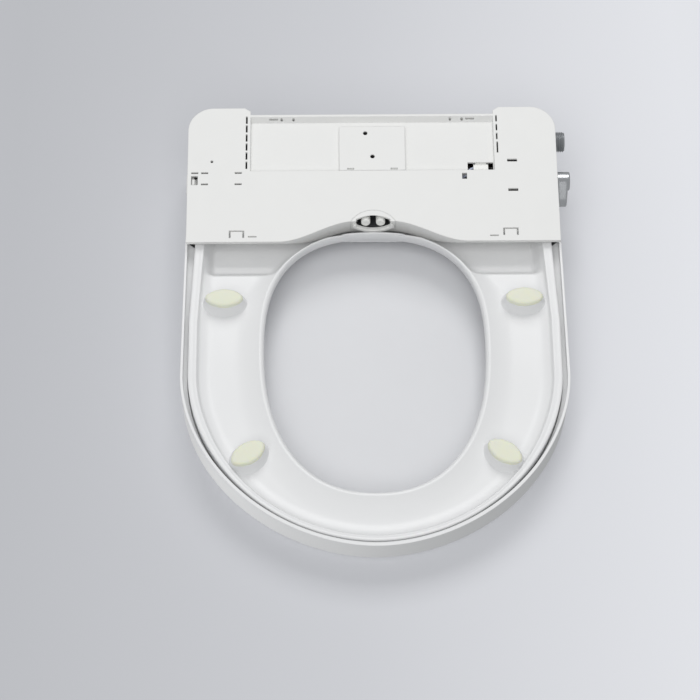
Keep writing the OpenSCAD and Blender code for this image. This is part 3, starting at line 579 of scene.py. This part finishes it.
def lever():
    """Satin lever: a round hub and a flat arm that comes in towards its tip."""
    x_in = -BASE_HALF - 1.2
    x_out = x_in - 13
    hub = lathe_x("selector_lever_look", [
        (x_in + 0.75, 7.3), (x_in + 0.02, 7.4), (x_in, 9.2), (x_in - 0.35, 9.55), (x_in - 0.8, 9.6),
        (x_out + 1.6, 9.6), (x_out + 0.7, 9.45), (x_out + 0.2, 9.0), (x_out, 8.3), (x_out, 3),
    ], KNOB_Y, KNOB_Z, 96)
    loops = []
    for s in np.linspace(0, 1, 30):
        y = KNOB_Y - 4 - 24.9 * s
        tip = math.sqrt(max(0.0, 1 - max(0.0, (s - 0.8) / 0.2) ** 2))
        half_z = (8.3 - 3.5 * s) * (0.25 + 0.75 * tip)
        inner, outer = x_in - 0.1, x_in - 11.2 + 2.4 * s
        soft = min(1.0, 0.82 + 2.2 * (1 - s))
        half_x, middle = (inner - outer) / 2 * soft, (inner + outer) / 2
        loop = []
        for i in range(56):
            a = FULL_TURN * i / 56
            c, q = math.cos(a), math.sin(a)
            r = (abs(c) ** 9 + abs(q) ** 9) ** (-1 / 9)
            loop.append((middle + half_x * r * c, y, KNOB_Z + half_z * r * q))
        loops.append(loop)
    points, faces = skin(loops, (True, True))
    arm = mesh_object("lever_arm", points, faces, sharp=50)
    return hub, arm


def nozzle_point(x, along, up):
    """A point given in the sloping nozzles' own frame."""
    c, s = math.cos(NOZZLE_TILT), math.sin(NOZZLE_TILT)
    return (x, NOZZLE_Y + along * c - up * s, NOZZLE_Z + along * s + up * c)


def nozzle_tip(name, x, r=4.7):
    """Spray head with a rounded front and a shallow recess in its face."""
    profile = [(0.35, r * 0.38), (0.0, r * 0.5), (0.0, r * 0.62), (0.25, r * 0.82), (0.9, r * 0.95), (1.9, r),
               (8.9, r), (9.0, r * 0.97)]
    loops = []
    for along, radius in profile:
        ring = disc_points(x, 0, radius, 0, 360, 48)[:-1]
        loops.append([nozzle_point(side, along, up) for side, up in ring])
    points, faces = skin(loops, (True, True))
    return mesh_object(name, points, faces, sharp=50)


WIRE_R = 1.0
WIRES = [
    [(-103, -22.5, 9), (-100, -24.5, 7.5), (-97.5, -27, 8), (-92, -30, 10), (-84, -32, 12)],
    [(-103, -25.5, 9), (-100, -27.0, 7.0), (-96.5, -29.5, 7.5), (-91, -32, 9), (-84, -35, 12)],
    [(-112, -27.0, 9), (-107, -29.6, 6.8), (-101, -30.5, 6.6), (-94, -33, 8), (-86, -37, 12)],
]


def wire(name, path, radius):
    """A short insulated wire through points."""
    curve = bpy.data.curves.new(name, "CURVE")
    curve.dimensions = "3D"
    curve.bevel_depth = radius * MM
    curve.bevel_resolution = 4
    curve.resolution_u = 12
    spline = curve.splines.new("BEZIER")
    spline.bezier_points.add(len(path) - 1)
    for knot, p in zip(spline.bezier_points, path):
        knot.co = Vector(p) * MM
        knot.handle_left_type = knot.handle_right_type = "AUTO"
    return link(name, curve)


# -------------------------------------------------------------------- materials


def node(tree, kind, **inputs):
    """A shader node with some of its inputs set."""
    made = tree.nodes.new(kind)
    for key, value in inputs.items():
        made.inputs[key.replace("_", " ")].default_value = value
    return made


def noise(tree, scale, detail=3.0):
    """Noise that stays with the object."""
    where = tree.nodes.new("ShaderNodeTexCoord")
    texture = node(tree, "ShaderNodeTexNoise", Scale=scale, Detail=detail)
    tree.links.new(where.outputs["Object"], texture.inputs["Vector"])
    return texture.outputs["Fac"]


def spread(tree, value, low, high):
    """A 0 to 1 value moved to another range."""
    made = tree.nodes.new("ShaderNodeMapRange")
    made.inputs["To Min"].default_value = low
    made.inputs["To Max"].default_value = high
    tree.links.new(value, made.inputs["Value"])
    return made.outputs["Result"]


TINT = 0.012


def finish(name, colour, roughness, metallic=0.0, coat=0.0, grain=0.0, grain_scale=900.0, edge=0.6,
           spread_of=0.04, subsurface=0.0):
    """One surface: colour and gloss that vary a little, fine grain and rounded edges."""
    material = bpy.data.materials.new(name)
    material.use_nodes = True
    tree = material.node_tree
    shader = tree.nodes["Principled BSDF"]
    shader.inputs["Metallic"].default_value = metallic
    shader.inputs["IOR"].default_value = 1.5
    shader.inputs["Coat Weight"].default_value = coat
    shader.inputs["Coat Roughness"].default_value = 0.06
    shader.inputs["Subsurface Weight"].default_value = subsurface
    shader.inputs["Subsurface Radius"].default_value = (0.004, 0.0035, 0.002)
    broad = noise(tree, 14.0)
    mix = tree.nodes.new("ShaderNodeMix")
    mix.data_type = "RGBA"
    mix.inputs[6].default_value = (*[c * (1 - TINT) for c in colour], 1)
    mix.inputs[7].default_value = (*[min(1.0, c * (1 + TINT)) for c in colour], 1)
    tree.links.new(broad, mix.inputs[0])
    tree.links.new(mix.outputs[2], shader.inputs["Base Color"])
    tree.links.new(
        spread(tree, noise(tree, 60.0), max(0.02, roughness - spread_of), roughness + spread_of),
        shader.inputs["Roughness"],
    )
    normal = None
    if edge:
        corner = node(tree, "ShaderNodeBevel", Radius=edge * MM)
        corner.samples = 6
        normal = corner.outputs["Normal"]
    if grain:
        bump = node(tree, "ShaderNodeBump", Strength=grain, Distance=0.0002)
        tree.links.new(noise(tree, grain_scale, 2.0), bump.inputs["Height"])
        if normal:
            tree.links.new(normal, bump.inputs["Normal"])
        normal = bump.outputs["Normal"]
    if normal:
        tree.links.new(normal, shader.inputs["Normal"])
    return material


FINISH = {
    "pan_white": finish("pan_white", (0.84, 0.84, 0.825), 0.42, grain=0.10, grain_scale=1400, edge=0.9),
    "shell_white": finish("shell_white", (0.84, 0.843, 0.845), 0.34, coat=0.12, grain=0.02, grain_scale=120,
                          edge=0.8),
    # Painted shade: the lid's inner panel is the same white plastic as the shell, made darker and bluer to
    # stand in for the shade inside the lid.
    "lining_painted_shade": finish("lining_painted_shade", (0.74, 0.745, 0.765), 0.45, grain=0.05, grain_scale=1400, edge=0),
    "cream_rubber": finish("cream_rubber", (0.83, 0.84, 0.70), 0.5, subsurface=0.5, grain=0.05, edge=0),
    "nozzle_white": finish("nozzle_white", (0.9, 0.9, 0.87), 0.3, grain=0.05, edge=0.3),
    "acetal": finish("acetal", (0.72, 0.71, 0.66), 0.4, edge=0.3),
    "graphite": finish("graphite", (0.05, 0.052, 0.056), 0.45, grain=0.1, edge=0.4),
    "black_rubber": finish("black_rubber", (0.02, 0.02, 0.022), 0.6, grain=0.15, edge=0.4),
    "wire_blue": finish("wire_blue", (0.5, 0.54, 0.66), 0.5, edge=0),
    "steel": finish("steel", (0.55, 0.56, 0.58), 0.28, metallic=1.0, edge=0.3),
    "threaded_metal": finish("threaded_metal", (0.36, 0.375, 0.39), 0.36, metallic=0.5, edge=0),
    "chrome": finish("chrome", (0.64, 0.655, 0.67), 0.24, metallic=1.0, edge=0.3, spread_of=0.02),
    "valve_plastic": finish("valve_plastic", (0.1, 0.22, 0.42), 0.4, edge=0.4),
    "heater_metal": finish("heater_metal", (0.55, 0.38, 0.24), 0.35, metallic=0.9, edge=0.4),
    "board_green": finish("board_green", (0.03, 0.14, 0.07), 0.45, edge=0.2),
    "foil": finish("foil", (0.6, 0.38, 0.2), 0.3, metallic=0.8, edge=0),
}


def one_sided(name, tones, span):
    """Matte surface seen from its front only, with tones that run along X."""
    material = bpy.data.materials.new(name)
    material.use_nodes = True
    tree = material.node_tree
    tree.nodes.clear()
    where = tree.nodes.new("ShaderNodeTexCoord")
    split = tree.nodes.new("ShaderNodeSeparateXYZ")
    tree.links.new(where.outputs["Object"], split.inputs[0])
    run = tree.nodes.new("ShaderNodeMapRange")
    run.inputs["From Min"].default_value, run.inputs["From Max"].default_value = span
    tree.links.new(split.outputs["X"], run.inputs["Value"])
    ramp = tree.nodes.new("ShaderNodeValToRGB")
    stops = ramp.color_ramp.elements
    while len(stops) < len(tones):
        stops.new(0.5)
    for i, (stop, tone) in enumerate(zip(stops, tones)):
        stop.position = i / (len(tones) - 1)
        stop.color = (*tone, 1)
    tree.links.new(run.outputs["Result"], ramp.inputs["Fac"])
    matte = tree.nodes.new("ShaderNodeBsdfDiffuse")
    tree.links.new(ramp.outputs["Color"], matte.inputs["Color"])
    clear = tree.nodes.new("ShaderNodeBsdfTransparent")
    facing = tree.nodes.new("ShaderNodeNewGeometry")
    choose = tree.nodes.new("ShaderNodeMixShader")
    tree.links.new(facing.outputs["Backfacing"], choose.inputs[0])
    tree.links.new(matte.outputs[0], choose.inputs[1])
    tree.links.new(clear.outputs[0], choose.inputs[2])
    out = tree.nodes.new("ShaderNodeOutputMaterial")
    tree.links.new(choose.outputs[0], out.inputs[0])
    return material


# ------------------------------------------------------------------------ stage


FLOOR_TONE = (0.8, 0.8, 0.81)
# Painted shade: the surface behind the part gets darker towards +X, standing in for light that falls off
# across it.
BEHIND_TONES = [(0.862, 0.87, 0.904), (0.674, 0.681, 0.711), (0.56, 0.567, 0.593)]
BEHIND_SPAN = (-0.335, 0.375)
BEHIND_FRONT, BEHIND_REAR = Vector((0, -0.432, 0.0530)), Vector((0, 0.03, 0.0987))
LIGHT_AIM, LIGHT_AWAY = Vector((0, -0.2, 0.03)), 6.0
KEY_BELOW, FILL_BELOW, KEY_ABOVE, FILL_ABOVE = 106, 145, 140, 110
KEY_SIZE, FILL_SIZE = 3.0, 5.0
WORLD_STRENGTH = 0.4
CAMERA_AT, CAMERA_LENS = (0.04083, -1.25163, -2.13404), 124.43
CAMERA_FORWARD, CAMERA_UP = Vector((-0.00688, 0.43136, 0.90215)), Vector((-0.00640, 0.90214, -0.43140))


def sheet(name, half, material, flip):
    """A flat square for the camera only, which neither lights nor shades the part."""
    corners = [(-half, -half, 0), (half, -half, 0), (half, half, 0), (-half, half, 0)]
    mesh = bpy.data.meshes.new(name)
    mesh.from_pydata([Vector(c) for c in corners], [], [(3, 2, 1, 0) if flip else (0, 1, 2, 3)])
    mesh.materials.append(material)
    obj = link(name, mesh)
    obj.visible_shadow = obj.visible_diffuse = obj.visible_glossy = False
    obj.visible_transmission = False
    return obj


def stage():
    """A pale floor seen from above, and a surface behind the part seen from below."""
    floor = sheet("floor", 12.0, one_sided("floor_paint", [FLOOR_TONE, FLOOR_TONE], (-1, 1)), False)
    floor.location.z = -0.0006
    # Its tones are painted shade that darkens towards +X.
    behind = sheet("behind", 6.0, one_sided("behind_paint", BEHIND_TONES, BEHIND_SPAN), True)
    rise = BEHIND_REAR - BEHIND_FRONT
    behind.location = BEHIND_FRONT
    behind.rotation_euler.x = math.atan2(rise.z, rise.y)


def area_light(name, direction, size, power, reflected=True):
    """Square softbox that faces the part from a direction."""
    data = bpy.data.lights.new(name, "AREA")
    data.shape = "SQUARE"
    data.size = size
    data.energy = power
    light = link(name, data)
    towards = Vector(direction).normalized()
    light.location = LIGHT_AIM + towards * LIGHT_AWAY
    light.rotation_euler = (-towards).to_track_quat("-Z", "Y").to_euler()
    light.visible_camera = False
    light.visible_glossy = reflected


def lighting():
    """Two softboxes below and two above, in a dim white room."""
    area_light("key_below", (-0.03, 0.63, -0.78), KEY_SIZE, KEY_BELOW)
    area_light("fill_below", (0.10, -0.42, -0.90), FILL_SIZE, FILL_BELOW, reflected=False)
    area_light("key_above", (0.75, -0.25, 0.61), KEY_SIZE, KEY_ABOVE)
    area_light("fill_above", (0.15, 0.35, 0.92), FILL_SIZE, FILL_ABOVE, reflected=False)
    world = bpy.data.worlds.new("studio")
    world.use_nodes = True
    back = world.node_tree.nodes["Background"]
    back.inputs["Color"].default_value = (0.97, 0.985, 1.0, 1)
    back.inputs["Strength"].default_value = WORLD_STRENGTH
    bpy.context.scene.world = world


def camera():
    """Camera below and in front of the part, looking up at its underside."""
    data = bpy.data.cameras.new("camera")
    data.sensor_width = 36.0
    data.lens = CAMERA_LENS
    data.clip_start, data.clip_end = 0.1, 50
    obj = link("camera", data)
    forward = CAMERA_FORWARD.normalized()
    right = forward.cross(CAMERA_UP).normalized()
    up = right.cross(forward)
    turn = Matrix((right, up, -forward)).transposed()
    obj.matrix_world = Matrix.Translation(CAMERA_AT) @ turn.to_4x4()
    bpy.context.scene.camera = obj


# ------------------------------------------------------------------------- build

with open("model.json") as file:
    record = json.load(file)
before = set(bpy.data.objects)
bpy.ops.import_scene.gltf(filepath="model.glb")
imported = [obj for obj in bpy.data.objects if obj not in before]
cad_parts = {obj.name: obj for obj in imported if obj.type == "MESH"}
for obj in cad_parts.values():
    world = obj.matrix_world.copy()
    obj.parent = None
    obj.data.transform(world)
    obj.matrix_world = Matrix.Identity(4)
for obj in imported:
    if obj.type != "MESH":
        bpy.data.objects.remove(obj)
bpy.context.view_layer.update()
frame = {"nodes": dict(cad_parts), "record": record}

slots = {part["node"]: part["material_slot"] for part in frame["record"]["subparts"]}
for name, obj in frame["nodes"].items():
    obj.data.materials.clear()
    obj.data.materials.append(FINISH[slots[name]])

place(lid_shell(), "lid", "shell_white", "lid_shell", "lid_rim")
# The lining takes the darker copy of the white finish, painted shade inside the lid.
place(lid_lining(), "lid", "shell_white", look="lining_painted_shade")
place(lid_ledge(), "lid", "shell_white")
place(seat_ring(), "seat", "shell_white", "seat_top", "seat_rim", "seat_lip", "seat_bottom")
place(seat_arms(), "seat", "shell_white")
for corner, foot in FEET.items():
    place(oval_form("foot_" + corner, foot, FOOT_PROFILE), "seat", "cream_rubber", "seat_foot_" + corner)
    place(oval_form("boss_" + corner, foot, BOSS_PROFILE), "seat", "shell_white")

for cad_node in ("base_pan", "base_cover", "mount_block", "nozzle_shroud", "release_button"):
    rides = "release" if cad_node == "release_button" else "base"
    place(refined(cad_node), rides, slots[cad_node], cad_node)

hose_union, flange = inlet()
place(hose_union, "base", "threaded_metal", "inlet_fitting")
place(flange, "base", "threaded_metal")
hub, arm = lever()
place(hub, "selector", "chrome", "selector_lever")
place(arm, "selector", "chrome")
place(nozzle_tip("tip_front", NOZZLE_X), "front_nozzle", "nozzle_white", "front_nozzle_tip")
place(nozzle_tip("tip_rear", -NOZZLE_X), "rear_nozzle", "nozzle_white", "rear_nozzle_tip")

place(seat_foil(), "seat", "foil", "seat_heater")
for number, path in enumerate(WIRES):
    place(wire(f"wire_{number}", path, WIRE_R), "base", "nozzle_white", look="wire_blue")

lighting()
camera()
bpy.context.scene.view_settings.view_transform = "Standard"
stage()
